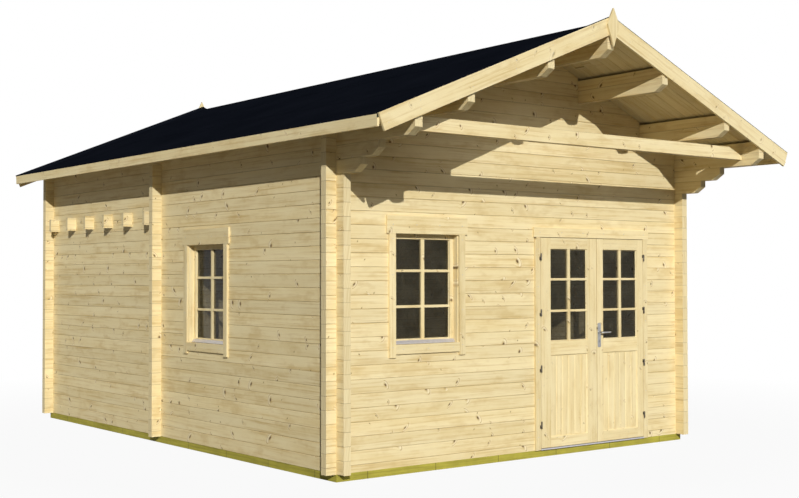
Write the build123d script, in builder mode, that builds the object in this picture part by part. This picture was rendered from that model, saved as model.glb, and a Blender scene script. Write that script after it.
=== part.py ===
from build123d import *
import math
import os

os.makedirs("parts", exist_ok=True)

# A log cabin with a front canopy, in millimetres
# X runs along the front wall, Y from the front to the back, Z up from the ground

# Logs
course = 114.0
log_t = 70.0
groove = 6.0
corner_out = 100.0

# Walls, measured over the outer faces of the logs
wall_width = 4200.0
wall_depth = 5800.0
front_room = 3020.0
foundation_h = 62.0
side_top = 21
wall_top = 23.5

# Roof
roof_pitch = 22.3
roof_seat = 24.9
eave_out = 349.0
board_t = 19.0
felt_t = 3.0
trim_t = 22.0
barge_w = 140.0
barge_rise = 52.0
fascia_t = 20.0
fascia_drop = 40.5
fascia_h = 90.0
canopy_out = 1012.0
rear_out = 195.0
finial_t = 20.0
finial_half = 72.0
finial_rise = 124.0
finial_shoulder = 18.0
finial_drop = 206.0

# Purlins and corbels, with heights counted in courses
corbel_low_out = 332.0
corbel_high_out = 560.0
end_bevel_l = 90.0
low_purlin_share = 0.738
high_purlin_share = 0.331
least_purlin = 1.5
purlin_courses = 3
beam_out = 815.0
beam_step = 37.0

# Deck joists over the rear room
joist_t = 45.0
joist_h = 140.0
joist_low = 2093.0
joist_first = 175.0
joist_pitch = 475.0

# Floor
bearer_t = 60.0
bearer_pitch = 480.0
floor_t = 19.0
floor_gap = 5.0

# Windows
window_w = 750.0
window_h = 1000.0
frame_face = 40.0
frame_depth = 95.0
sash_face = 40.0
sash_t = 40.0
sash_back = 53.0
glass_t = 4.0
front_window_in = 933.0
front_window_low = 8.5
side_window_y = 2112.0
side_window_low = 8

# Window casings
casing_t = 20.0
casing_lap = 30.0
casing_face = 66.0
casing_ear = 26.0
casing_top_h = 150.0
casing_top_lap = 38.0
casing_leg = 67.0
casing_sill_low = 38.0
casing_sill_h = 79.0

# Double door
door_in = 1262.0
door_gap = 5.0
jamb_face = 30.0
stop_face = 15.0
stop_depth = 20.0
threshold_h = 12.0
threshold_out = 25.0
leaf_h = 1909.0
leaf_t = 42.0
leaf_front = 20.0
left_leaf_w = 727.0
right_leaf_w = 646.0
leaf_split = 6.0
leaf_bevel = 3.0
left_stile = 123.0
right_stile = 83.0
top_rail = 100.0
mid_rail = 125.0
bottom_rail = 91.0
glass_h = 846.0
panel_t = 20.0
panel_boards = 6
door_casing_face = 62.0
door_casing_top_h = 88.0
door_casing_over = 16.0

# Hinges
hinge_count = 4
hinge_foot = 181.0
hinge_head = 205.0
knuckle_r = 7.0
knuckle_h = 29.0
knuckle_sides = 8
knuckle_gap = 1.0
knuckle_out = 10.0
hinge_pin_r = 3.5
pin_play = 0.1
strap_l = 14.0
strap_t = 5.0

# Lever handle
handle_x = 27.0
handle_z = 1045.0
plate_w = 45.0
plate_h = 228.0
plate_t = 3.0
plate_low = 140.0
spindle_r = 8.0
spindle_play = 0.1
lever_out = 45.0
lever_l = 120.0
lever_r = 8.0
key_drop = 83.0
key_w = 12.0
key_h = 30.0
key_out = 6.0

# Cross wall doorway
inner_door_half = 400.0

# Places worked out from the sizes above
slope = math.tan(math.radians(roof_pitch))
half_width = wall_width / 2
side_x = half_width - log_t / 2
roof_front = canopy_out + trim_t + finial_t
roof_depth = roof_front + wall_depth + rear_out + trim_t + finial_t
front_face = roof_front - roof_depth / 2
rear_face = front_face + wall_depth
front_y = front_face + log_t / 2
cross_y = front_face + front_room + log_t / 2
rear_y = rear_face - log_t / 2
wall_rows = (front_y, cross_y, rear_y)
canopy_edge = front_face - canopy_out
rear_edge = rear_face + rear_out
eave_x = half_width + eave_out
log_low = foundation_h
low_purlin_x = low_purlin_share * half_width
high_purlin_x = high_purlin_share * half_width
door_x = half_width - door_in
front_window_x = front_window_in - half_width
window_courses = math.ceil(window_h / course)
door_top = math.ceil((threshold_h + 2 * door_gap + leaf_h + jamb_face) / course - 0.5) + 0.5


def level(courses):
    """Height of a joint, counted in courses above the foundation."""
    return log_low + courses * course


def roof_under(x):
    """Height of the underside of the roof boards at a distance from the ridge."""
    return level(roof_seat) + slope * (half_width - abs(x))


def purlin_base(x):
    """The course that a purlin starts on, so that the roof cuts its upper log."""
    return math.floor((roof_under(x) - log_low) / course - least_purlin)


def joints(low, high, start):
    """Numbers of the joints from low to high, whole or half according to start."""
    first = math.ceil(low - start)
    last = math.floor(high - start)
    return [n + start for n in range(first, last + 1)]


def log_ends(plane, centre, low, high, start, jointed):
    """The end of a stack of logs, with a small V at each joint of its weather side."""
    weather = centre + math.copysign(log_t / 2, centre)
    with BuildSketch(plane) as ends:
        with Locations((centre, (level(low) + level(high)) / 2)):
            Rectangle(log_t, level(high) - level(low))
        if jointed:
            with Locations([(weather, level(n)) for n in joints(low, high, start)]):
                Rectangle(groove, groove, rotation=45, mode=Mode.SUBTRACT)
    return ends.sketch


def side_logs(x, front, rear, low, high, jointed=True):
    """Logs that run from front to back, with joints at whole courses."""
    with BuildPart() as logs:
        extrude(log_ends(Plane.XZ.offset(-rear), x, low, high, 0, jointed), amount=rear - front)
    return logs.part


def cross_logs(left, right, y, low, high, jointed=True):
    """Logs that run from left to right, with joints at half courses."""
    with BuildPart() as logs:
        extrude(log_ends(Plane.YZ.offset(left), y, low, high, 0.5, jointed), amount=right - left)
    return logs.part


def seats(places, low, high, start):
    """Where crossing logs sit in this stack, half a course high at each joint."""
    return [(x, y, level(n)) for x, y in places for n in joints(low, high, start)]


def end_bevel(x, end, low, turn):
    """The wedge cut from under the end of a log, turn is 1 at the front and -1 at the back."""
    with BuildPart() as wedge:
        with BuildSketch(Plane.YZ.offset(x)):
            with BuildLine():
                Polyline(
                    (end, level(low)),
                    (end + turn * end_bevel_l, level(low)),
                    (end, level(low + 0.5)),
                    close=True,
                )
            make_face()
        extrude(amount=log_t, both=True)
    return wedge.part


# Everything above the underside of the roof boards, to cut walls and purlins
with BuildPart() as sky:
    with BuildSketch(Plane.XZ.offset(-roof_depth)):
        with BuildLine():
            Polyline(
                (-wall_width, roof_under(wall_width)),
                (0, roof_under(0)),
                (wall_width, roof_under(wall_width)),
                (wall_width, 2 * roof_under(0)),
                (-wall_width, 2 * roof_under(0)),
                close=True,
            )
        make_face()
    extrude(amount=2 * roof_depth)

# Treated frame on the ground, with bearers under the floor
with BuildPart() as foundation_frame:
    with BuildSketch():
        with Locations((0, (front_face + rear_face) / 2)):
            Rectangle(wall_width, wall_depth)
            Rectangle(wall_width - 2 * log_t, wall_depth - 2 * log_t, mode=Mode.SUBTRACT)
        with Locations((0, cross_y)):
            Rectangle(wall_width - log_t, log_t)
        for low_y, high_y in ((front_y, cross_y), (cross_y, rear_y)):
            spans = round((high_y - low_y) / bearer_pitch)
            with Locations([(0, low_y + n * (high_y - low_y) / spans) for n in range(1, spans)]):
                Rectangle(wall_width - log_t, bearer_t)
    extrude(amount=foundation_h)
foundation_frame.part.label = "foundation_frame"

# Floor boards of the two rooms
with BuildPart() as floor_boards:
    for low_y, high_y in ((front_y, cross_y), (cross_y, rear_y)):
        with Locations((0, (low_y + high_y) / 2, log_low + floor_t / 2)):
            Box(
                wall_width - 2 * log_t - 2 * floor_gap,
                high_y - low_y - log_t - 2 * floor_gap,
                floor_t,
            )
floor_boards.part.label = "floor_boards"

# Side walls, each a stack of logs with seats for the crossing logs
first_joist_y = cross_y - log_t / 2 + joist_first + joist_t / 2
joist_spans = int((rear_y - log_t / 2 - joist_t / 2 - first_joist_y) // joist_pitch)
joist_rows = [first_joist_y + n * joist_pitch for n in range(joist_spans + 1)]


def side_wall(x, jointed):
    """One side wall up to the corbels, with the joist ends let through."""
    with BuildPart() as wall:
        add(side_logs(x, front_face - corner_out, rear_face + corner_out, 0, side_top, jointed))
        with Locations(seats([(x, y) for y in wall_rows], 0, side_top, 0)):
            Box(2 * log_t, log_t, course / 2, mode=Mode.SUBTRACT)
        with Locations([(x, y, log_low + joist_low + joist_h / 2) for y in joist_rows]):
            Box(2 * log_t, joist_t, joist_h, mode=Mode.SUBTRACT)
    return wall.part


with BuildPart() as left_wall:
    add(side_wall(-side_x, True))
    with Locations((-side_x, front_face + side_window_y, level(side_window_low + window_courses / 2))):
        Box(2 * log_t, window_w, window_courses * course, mode=Mode.SUBTRACT)
left_wall.part.label = "left_wall"

with BuildPart() as right_wall:
    add(side_wall(side_x, False))
right_wall.part.label = "right_wall"


def corbels(x):
    """Two stepped logs on top of a side wall, carried forward under the canopy."""
    with BuildPart() as pair:
        for step, out in enumerate((corbel_low_out, corbel_high_out)):
            low = side_top + step
            add(side_logs(x, front_face - out, rear_face + corner_out, low, low + 1))
            add(end_bevel(x, front_face - out, low, 1), mode=Mode.SUBTRACT)
        with Locations(seats([(x, y) for y in wall_rows], side_top, side_top + 2, 0)):
            Box(2 * log_t, log_t, course / 2, mode=Mode.SUBTRACT)
    return pair.part


with BuildPart() as left_corbels:
    add(corbels(-side_x))
left_corbels.part.label = "left_corbels"

with BuildPart() as right_corbels:
    add(corbels(side_x))
right_corbels.part.label = "right_corbels"


def purlin(x):
    """Logs, one on the other, from the canopy to the rear, cut to the slope of the roof."""
    low = purlin_base(x)
    with BuildPart() as timber:
        add(side_logs(x, canopy_edge, rear_edge, low, low + purlin_courses))
        add(end_bevel(x, canopy_edge, low, 1), mode=Mode.SUBTRACT)
        add(end_bevel(x, rear_edge, low, -1), mode=Mode.SUBTRACT)
        add(sky.part, mode=Mode.SUBTRACT)
    return timber.part


def eave_purlin(x):
    """The top timber of a side wall, with seats for the walls that cross it."""
    low = purlin_base(x)
    with BuildPart() as timber:
        add(purlin(x))
        with Locations(seats([(x, y) for y in wall_rows], low, low, 0)):
            Box(2 * log_t, log_t, course / 2, mode=Mode.SUBTRACT)
        with Locations(seats([(x, front_y), (x, rear_y)], low + 1, low + 1, 0)):
            Box(2 * log_t, log_t, course / 2, mode=Mode.SUBTRACT)
    return timber.part


with BuildPart() as left_eave_purlin:
    add(eave_purlin(-side_x))
left_eave_purlin.part.label = "left_eave_purlin"

with BuildPart() as right_eave_purlin:
    add(eave_purlin(side_x))
right_eave_purlin.part.label = "right_eave_purlin"

with BuildPart() as low_purlins:
    add(purlin(-low_purlin_x))
    add(purlin(low_purlin_x))
low_purlins.part.label = "low_purlins"

with BuildPart() as high_purlins:
    add(purlin(-high_purlin_x))
    add(purlin(high_purlin_x))
high_purlins.part.label = "high_purlins"

with BuildPart() as ridge_purlin:
    add(purlin(0))
ridge_purlin.part.label = "ridge_purlin"

# Beam across the canopy between the eave purlins, its ends cut to the slope
beam_half = side_x - log_t / 2
beam_flat = beam_half - (course - beam_step) / slope
with BuildPart() as canopy_beam:
    with BuildSketch(Plane.XZ.offset(beam_out - front_face)):
        with BuildLine():
            Polyline(
                (-beam_half, level(wall_top)),
                (beam_half, level(wall_top)),
                (beam_half, level(wall_top) + beam_step),
                (beam_flat, level(wall_top + 1)),
                (-beam_flat, level(wall_top + 1)),
                (-beam_half, level(wall_top) + beam_step),
                close=True,
            )
        make_face()
    extrude(amount=-log_t)
canopy_beam.part.label = "canopy_beam"

# Joists of the deck over the rear room, with their ends showing outside
with BuildPart() as deck_joists:
    with Locations([(0, y, log_low + joist_low + joist_h / 2) for y in joist_rows]):
        Box(wall_width + 2 * corner_out, joist_t, joist_h)
deck_joists.part.label = "deck_joists"

# Front wall in three stacks, split at the door
wall_end = half_width + corner_out
opening_half = (left_leaf_w + leaf_split + right_leaf_w) / 2 + door_gap + jamb_face
side_places = (-side_x, side_x)


def cross_stack(left, right, y, low, high, jointed=True):
    """Part of a wall from left to right, with the seats of the side walls."""
    with BuildPart() as wall:
        add(cross_logs(left, right, y, low, high, jointed))
        with Locations(seats([(x, y) for x in side_places], low, high, 0.5)):
            Box(log_t, 2 * log_t, course / 2, mode=Mode.SUBTRACT)
    return wall.part


with BuildPart() as front_window_cut:
    with Locations((front_window_x, front_y, level(front_window_low + window_courses / 2))):
        Box(window_w, 2 * log_t, window_courses * course)
front_window_hole = front_window_cut.part

with BuildPart() as front_wall_left:
    add(cross_stack(-wall_end, door_x - opening_half, front_y, 0, door_top))
    add(front_window_hole, mode=Mode.SUBTRACT)
front_wall_left.part.label = "front_wall_left"

with BuildPart() as front_wall_right:
    add(cross_stack(door_x + opening_half, wall_end, front_y, 0, door_top))
front_wall_right.part.label = "front_wall_right"

with BuildPart() as front_wall_upper:
    add(cross_stack(-wall_end, wall_end, front_y, door_top, wall_top))
    add(front_window_hole, mode=Mode.SUBTRACT)
front_wall_upper.part.label = "front_wall_upper"

with BuildPart() as rear_wall:
    add(cross_stack(-wall_end, wall_end, rear_y, 0, wall_top, False))
rear_wall.part.label = "rear_wall"

# Cross wall between the rooms, with a plain doorway
with BuildPart() as cross_wall_left:
    add(cross_stack(-wall_end, -inner_door_half, cross_y, 0, door_top, False))
cross_wall_left.part.label = "cross_wall_left"

with BuildPart() as cross_wall_right:
    add(cross_stack(inner_door_half, wall_end, cross_y, 0, door_top, False))
cross_wall_right.part.label = "cross_wall_right"

with BuildPart() as cross_wall_upper:
    add(cross_stack(-wall_end, wall_end, cross_y, door_top, wall_top, False))
cross_wall_upper.part.label = "cross_wall_upper"


purlin_places = (-low_purlin_x, -high_purlin_x, 0, high_purlin_x, low_purlin_x)


def gable(y):
    """The logs above a wall, cut to the roof, with a slot for each purlin."""
    inner_end = side_x - log_t / 2
    with BuildPart() as logs:
        add(cross_stack(-wall_end, wall_end, y, wall_top, wall_top + 1))
        add(cross_logs(-inner_end, inner_end, y, wall_top + 1, purlin_base(0) + purlin_courses))
        add(sky.part, mode=Mode.SUBTRACT)
        with Locations([(x, y, level(purlin_base(x) + purlin_courses / 2)) for x in purlin_places]):
            Box(log_t, 2 * log_t, purlin_courses * course, mode=Mode.SUBTRACT)
    return logs.part


with BuildPart() as front_gable:
    add(gable(front_y))
front_gable.part.label = "front_gable"

with BuildPart() as rear_gable:
    add(gable(rear_y))
rear_gable.part.label = "rear_gable"


def roof_layer(side, low, thick):
    """One slope of a layer of the roof, low above the underside of the boards."""
    rise = 1 / math.cos(math.radians(roof_pitch))
    edge = side * (eave_x - fascia_t)
    with BuildPart() as layer:
        with BuildSketch(Plane.XZ.offset(-rear_edge)):
            with BuildLine():
                Polyline(
                    (0, roof_under(0) + low * rise),
                    (edge, roof_under(edge) + low * rise),
                    (edge, roof_under(edge) + (low + thick) * rise),
                    (0, roof_under(0) + (low + thick) * rise),
                    close=True,
                )
            make_face()
        extrude(amount=rear_edge - canopy_edge)
    return layer.part


with BuildPart() as left_roof_boards:
    add(roof_layer(-1, 0, board_t))
left_roof_boards.part.label = "left_roof_boards"

with BuildPart() as right_roof_boards:
    add(roof_layer(1, 0, board_t))
right_roof_boards.part.label = "right_roof_boards"

with BuildPart() as left_roof_felt:
    add(roof_layer(-1, board_t, felt_t))
left_roof_felt.part.label = "left_roof_felt"

with BuildPart() as right_roof_felt:
    add(roof_layer(1, board_t, felt_t))
right_roof_felt.part.label = "right_roof_felt"


def barge_pair(y):
    """Two sloping boards that meet at the ridge, standing in front of the plane at y."""
    tilt = math.radians(roof_pitch)
    rise = barge_rise / math.cos(tilt)
    with BuildPart() as boards:
        with BuildSketch(Plane.XZ.offset(-y)):
            with BuildLine():
                Polyline(
                    (0, roof_under(0) + rise),
                    (eave_x, roof_under(eave_x) + rise),
                    (eave_x - barge_w * math.sin(tilt), roof_under(eave_x) + rise - barge_w * math.cos(tilt)),
                    (0, roof_under(0) + rise - barge_w / math.cos(tilt)),
                    close=True,
                )
            make_face()
            mirror(about=Plane.YZ)
        extrude(amount=trim_t)
    return boards.part


with BuildPart() as front_barge_boards:
    add(barge_pair(canopy_edge))
front_barge_boards.part.label = "front_barge_boards"

with BuildPart() as rear_barge_boards:
    add(barge_pair(rear_edge + trim_t))
rear_barge_boards.part.label = "rear_barge_boards"

# Boards along the eaves, between the barge boards
with BuildPart() as eave_fascias:
    for side in (-1, 1):
        fascia_z = roof_under(eave_x) - fascia_drop + fascia_h / 2
        with Locations((side * (eave_x - fascia_t / 2), (canopy_edge + rear_edge) / 2, fascia_z)):
            Box(fascia_t, rear_edge - canopy_edge, fascia_h)
eave_fascias.part.label = "eave_fascias"

# Pointed finials over the joints of the barge boards
with BuildPart() as finials:
    for y in (canopy_edge - trim_t, rear_edge + trim_t + finial_t):
        with BuildSketch(Plane.XZ.offset(-y)):
            with BuildLine():
                Polyline(
                    (0, roof_under(0) + finial_rise),
                    (finial_half, roof_under(0) - finial_shoulder),
                    (0, roof_under(0) - finial_drop),
                    (-finial_half, roof_under(0) - finial_shoulder),
                    close=True,
                )
            make_face()
        extrude(amount=finial_t)
finials.part.label = "finials"

# Windows, each drawn on a plane that looks at the wall from outside
front_plane = Plane(
    origin=(front_window_x, front_face, level(front_window_low)), x_dir=(1, 0, 0), z_dir=(0, -1, 0)
)
side_plane = Plane(
    origin=(-half_width, front_face + side_window_y, level(side_window_low)), x_dir=(0, -1, 0), z_dir=(-1, 0, 0)
)
window_planes = (front_plane, side_plane)
sash_w = window_w - 2 * frame_face
sash_h = window_h - 2 * frame_face
casing_inner = window_w / 2 - casing_lap
casing_top_low = window_h - casing_top_lap

with BuildPart() as window_frames:
    for plane in window_planes:
        with BuildSketch(plane):
            with Locations((0, window_h / 2)):
                Rectangle(window_w, window_h)
                Rectangle(window_w - 2 * frame_face, window_h - 2 * frame_face, mode=Mode.SUBTRACT)
        extrude(amount=-frame_depth)
window_frames.part.label = "window_frames"

with BuildPart() as window_sashes:
    for plane in window_planes:
        with BuildSketch(plane.offset(-sash_back)):
            with Locations((0, window_h / 2)):
                Rectangle(sash_w, sash_h)
                Rectangle(sash_w - 2 * sash_face, sash_h - 2 * sash_face, mode=Mode.SUBTRACT)
        extrude(amount=-sash_t)
window_sashes.part.label = "window_sashes"

with BuildPart() as window_glass:
    for plane in window_planes:
        with BuildSketch(plane.offset(-sash_back - (sash_t - glass_t) / 2)):
            with Locations((0, window_h / 2)):
                Rectangle(sash_w - 2 * sash_face, sash_h - 2 * sash_face)
        extrude(amount=-glass_t)
window_glass.part.label = "window_glass"

with BuildPart() as window_casings:
    for plane in window_planes:
        with BuildSketch(plane):
            leg_z = (casing_top_low - casing_leg) / 2
            with Locations([(side * (casing_inner + casing_face / 2), leg_z) for side in (-1, 1)]):
                Rectangle(casing_face, casing_top_low + casing_leg)
            with Locations((0, casing_top_low + casing_top_h / 2)):
                Rectangle(2 * (casing_inner + casing_face + casing_ear), casing_top_h)
            with Locations((0, casing_sill_h / 2 - casing_sill_low)):
                Rectangle(2 * casing_inner, casing_sill_h)
        extrude(amount=casing_t)
window_casings.part.label = "window_casings"

# Door frame with a stop behind the leaves
leaf_low = log_low + threshold_h + door_gap
leaf_top = leaf_low + leaf_h
pair_half = opening_half - jamb_face - door_gap
clear_half = opening_half - jamb_face
clear_h = leaf_top + door_gap - log_low
stop_front = leaf_t - leaf_front + door_gap
door_plane = Plane(origin=(door_x, front_face, log_low), x_dir=(1, 0, 0), z_dir=(0, -1, 0))

with BuildPart() as door_frame:
    with BuildSketch(door_plane):
        with Locations((0, (clear_h + jamb_face) / 2)):
            Rectangle(2 * opening_half, clear_h + jamb_face)
        with Locations((0, clear_h / 2)):
            Rectangle(2 * clear_half, clear_h, mode=Mode.SUBTRACT)
    extrude(amount=-log_t)
    with BuildSketch(door_plane.offset(-stop_front)):
        with Locations((0, clear_h / 2)):
            Rectangle(2 * clear_half, clear_h)
        with Locations((0, (clear_h - stop_face) / 2)):
            Rectangle(2 * clear_half - 2 * stop_face, clear_h - stop_face, mode=Mode.SUBTRACT)
        with Locations((0, threshold_h / 2)):
            Rectangle(2 * clear_half, threshold_h, mode=Mode.SUBTRACT)
    extrude(amount=-stop_depth)
door_frame.part.label = "door_frame"

with BuildPart() as door_casing:
    with BuildSketch(door_plane):
        with Locations((0, clear_h / 2)):
            Rectangle(2 * clear_half + 2 * door_casing_face, clear_h)
            Rectangle(2 * clear_half, clear_h, mode=Mode.SUBTRACT)
        with Locations((0, clear_h + door_casing_top_h / 2)):
            Rectangle(2 * (clear_half + door_casing_face + door_casing_over), door_casing_top_h)
    extrude(amount=casing_t)
door_casing.part.label = "door_casing"

with BuildPart() as door_threshold:
    with Locations((door_x, front_face + (log_t - threshold_out) / 2, log_low + threshold_h / 2)):
        Box(2 * clear_half, log_t + threshold_out, threshold_h)
door_threshold.part.label = "door_threshold"

# Door leaves
left_leaf_x = door_x - pair_half + left_leaf_w / 2
right_leaf_x = door_x + pair_half - right_leaf_w / 2
glass_low = leaf_h - top_rail - glass_h
panel_h = glass_low - mid_rail - bottom_rail
leaf_face = front_face - leaf_front


def leaf_plane(x, back):
    """A plane across a leaf at its foot, a given depth behind its outer face."""
    return Plane(origin=(x, leaf_face + back, leaf_low), x_dir=(1, 0, 0), z_dir=(0, -1, 0))


def door_leaf(x, width, stile, meeting):
    """Stiles and rails around glass and upright boards, the meeting edge is at 1 or -1."""
    inside = width - 2 * stile
    board = inside / panel_boards
    edge = x + meeting * width / 2
    with BuildPart() as leaf:
        with BuildSketch(leaf_plane(x, 0)):
            with Locations((0, leaf_h / 2)):
                Rectangle(width, leaf_h)
            with Locations((0, glass_low + glass_h / 2)):
                Rectangle(inside, glass_h, mode=Mode.SUBTRACT)
            with Locations((0, bottom_rail + panel_h / 2)):
                Rectangle(inside, panel_h, mode=Mode.SUBTRACT)
        extrude(amount=-leaf_t)
        with BuildSketch(leaf_plane(x, (leaf_t - panel_t) / 2)):
            with Locations((0, bottom_rail + panel_h / 2)):
                Rectangle(inside, panel_h)
        extrude(amount=-panel_t)
        with BuildSketch(Plane.XY.offset(leaf_low + bottom_rail)):
            faces = (leaf_face + (leaf_t - panel_t) / 2, leaf_face + (leaf_t + panel_t) / 2)
            ends = [x + (n - panel_boards / 2) * board for n in range(1, panel_boards)]
            with Locations([(end, face) for end in ends for face in faces]):
                Rectangle(groove, groove, rotation=45)
        extrude(amount=panel_h, mode=Mode.SUBTRACT)
        with BuildSketch(Plane.XY.offset(leaf_low)):
            with BuildLine():
                Polyline(
                    (edge, leaf_face),
                    (edge, leaf_face + leaf_t),
                    (edge - meeting * leaf_bevel, leaf_face + leaf_t),
                    close=True,
                )
            make_face()
        extrude(amount=leaf_h, mode=Mode.SUBTRACT)
    return leaf.part


def leaf_glass(x, width, stile):
    """The sheet of glass in the upper part of a leaf."""
    with BuildPart() as sheet:
        with BuildSketch(leaf_plane(x, (leaf_t - glass_t) / 2)):
            with Locations((0, glass_low + glass_h / 2)):
                Rectangle(width - 2 * stile, glass_h)
        extrude(amount=-glass_t)
    return sheet.part


with BuildPart() as left_door_leaf:
    add(door_leaf(left_leaf_x, left_leaf_w, left_stile, 1))
left_door_leaf.part.label = "left_door_leaf"

with BuildPart() as left_door_glass:
    add(leaf_glass(left_leaf_x, left_leaf_w, left_stile))
left_door_glass.part.label = "left_door_glass"

handle_x_at = door_x + pair_half - right_leaf_w + handle_x
handle_z_at = log_low + handle_z

with BuildPart() as right_door_leaf:
    add(door_leaf(right_leaf_x, right_leaf_w, right_stile, -1))
    with BuildSketch(Plane.XZ.offset(-leaf_face)):
        with Locations((handle_x_at, handle_z_at)):
            Circle(spindle_r + spindle_play)
    extrude(amount=-leaf_t, mode=Mode.SUBTRACT)
right_door_leaf.part.label = "right_door_leaf"

with BuildPart() as right_door_glass:
    add(leaf_glass(right_leaf_x, right_leaf_w, right_stile))
right_door_glass.part.label = "right_door_glass"

# Hinges, the lower knuckle and pin on the frame and the upper knuckle on the leaf
hinge_y = leaf_face - knuckle_out
hinge_span = (leaf_h - hinge_foot - hinge_head) / (hinge_count - 1)
hinge_rows = [leaf_low + hinge_foot + n * hinge_span for n in range(hinge_count)]


def fixed_knuckle(side, z):
    """The lower knuckle with its pin and a strap on the casing, side is -1 at the left."""
    x = door_x + side * clear_half
    with BuildPart() as knuckle:
        with BuildSketch(Plane(origin=(x, hinge_y, z))):
            RegularPolygon(knuckle_r, knuckle_sides)
        extrude(amount=knuckle_h)
        with BuildSketch(Plane(origin=(x, hinge_y, z + knuckle_h))):
            Circle(hinge_pin_r)
        extrude(amount=knuckle_h)
        with Locations((x + side * strap_l / 2, leaf_face - strap_t / 2, z + knuckle_h / 2)):
            Box(strap_l, strap_t, knuckle_h)
    return knuckle.part


def moving_knuckle(side, z):
    """The upper knuckle, bored for the pin, with a strap on the face of the leaf."""
    x = door_x + side * clear_half
    low = z + knuckle_h + knuckle_gap
    with BuildPart() as knuckle:
        with Locations((x - side * strap_l / 2, leaf_face - strap_t / 2, low + knuckle_h / 2)):
            Box(strap_l, strap_t, knuckle_h)
        with BuildSketch(Plane(origin=(x, hinge_y, low))):
            RegularPolygon(knuckle_r, knuckle_sides)
            Circle(hinge_pin_r + pin_play, mode=Mode.SUBTRACT)
        extrude(amount=knuckle_h)
    return knuckle.part


with BuildPart() as frame_hinges:
    for side in (-1, 1):
        for height in hinge_rows:
            add(fixed_knuckle(side, height))
frame_hinges.part.label = "frame_hinges"

with BuildPart() as left_door_hinges:
    for height in hinge_rows:
        add(moving_knuckle(-1, height))
left_door_hinges.part.label = "left_door_hinges"

with BuildPart() as right_door_hinges:
    for height in hinge_rows:
        add(moving_knuckle(1, height))
right_door_hinges.part.label = "right_door_hinges"

# Long plates of the lock on both faces of the right leaf
with BuildPart() as lock_plates:
    for back, turn in ((0, 1), (leaf_t, -1)):
        face = Plane(origin=(handle_x_at, leaf_face + back, handle_z_at), x_dir=(1, 0, 0), z_dir=(0, -turn, 0))
        with BuildSketch(face):
            with Locations((0, plate_h / 2 - plate_low)):
                Rectangle(plate_w, plate_h)
            Circle(spindle_r + spindle_play, mode=Mode.SUBTRACT)
        extrude(amount=plate_t)
        with BuildSketch(face):
            with Locations((0, -key_drop)):
                Rectangle(key_w, key_h)
        extrude(amount=plate_t + key_out)
lock_plates.part.label = "lock_plates"

# Levers on a common spindle
with BuildPart() as door_lever:
    for grip_y in (leaf_face - lever_out, leaf_face + leaf_t + lever_out):
        with BuildSketch(Plane.YZ.offset(handle_x_at - lever_r)):
            with Locations((grip_y, handle_z_at)):
                Circle(lever_r)
        extrude(amount=lever_r + lever_l)
    with BuildSketch(Plane.XZ.offset(lever_out - leaf_face)):
        with Locations((handle_x_at, handle_z_at)):
            Circle(spindle_r)
    extrude(amount=-2 * lever_out - leaf_t)
door_lever.part.label = "door_lever"

pieces = (
    foundation_frame,
    floor_boards,
    left_wall,
    right_wall,
    left_corbels,
    right_corbels,
    left_eave_purlin,
    right_eave_purlin,
    low_purlins,
    high_purlins,
    ridge_purlin,
    canopy_beam,
    deck_joists,
    front_wall_left,
    front_wall_right,
    front_wall_upper,
    front_gable,
    rear_wall,
    rear_gable,
    cross_wall_left,
    cross_wall_right,
    cross_wall_upper,
    left_roof_boards,
    right_roof_boards,
    left_roof_felt,
    right_roof_felt,
    front_barge_boards,
    rear_barge_boards,
    eave_fascias,
    finials,
    window_frames,
    window_sashes,
    window_glass,
    window_casings,
    door_frame,
    door_casing,
    door_threshold,
    frame_hinges,
    left_door_leaf,
    left_door_glass,
    left_door_hinges,
    right_door_leaf,
    right_door_glass,
    right_door_hinges,
    lock_plates,
    door_lever,
)
for piece in pieces:
    export_step(piece.part, f"parts/{piece.part.label}.step")
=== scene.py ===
import math
import random

import bmesh
import bpy
from mathutils import Matrix, Vector


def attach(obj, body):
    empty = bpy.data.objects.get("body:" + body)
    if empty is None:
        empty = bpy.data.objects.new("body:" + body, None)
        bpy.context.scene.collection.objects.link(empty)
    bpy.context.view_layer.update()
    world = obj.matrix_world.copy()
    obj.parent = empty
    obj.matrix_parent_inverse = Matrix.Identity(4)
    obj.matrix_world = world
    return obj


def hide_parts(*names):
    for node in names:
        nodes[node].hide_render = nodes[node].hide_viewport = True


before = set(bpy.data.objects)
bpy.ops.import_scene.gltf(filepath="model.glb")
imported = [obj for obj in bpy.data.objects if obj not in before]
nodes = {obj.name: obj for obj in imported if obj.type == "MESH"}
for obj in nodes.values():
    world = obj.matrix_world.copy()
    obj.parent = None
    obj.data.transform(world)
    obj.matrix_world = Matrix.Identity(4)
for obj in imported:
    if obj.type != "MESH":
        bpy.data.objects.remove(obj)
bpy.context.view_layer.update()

# Sizes that the boards share with the frame, in metres
GROUND = 0.062
COURSE = 0.114
LOG = 0.070
LOG_END = 0.100
HALF_WIDTH = 2.100
FRONT = -2.4915
REAR = 3.3085
CROSS_WALL = (0.5235, 0.6035)
CANOPY_EDGE = -3.5035
REAR_EDGE = 3.5035
PITCH = math.radians(22.3)
SLOPE = math.tan(PITCH)
LIFT = 1 / math.cos(PITCH)
RIDGE = 3.762
BOARD = 0.019
EAVE = 2.449
FASCIA = 0.020
BARGE = 0.140
BARGE_TOP = 0.052
TRIM = 0.022
CASING = 0.020
DOOR_X = 0.838
LEAF_LIFT = 0.017
EASE = 0.0015
WIDE_EASE = 0.002
TRIM_EASE = 0.0025
BAR_EASE = 0.004
FINE_EASE = 0.001

ACROSS = (1, 0, 0)
DEEP = (0, 1, 0)
UP = (0, 0, 1)
SIDES = ((-1, "left"), (1, "right"))


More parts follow.
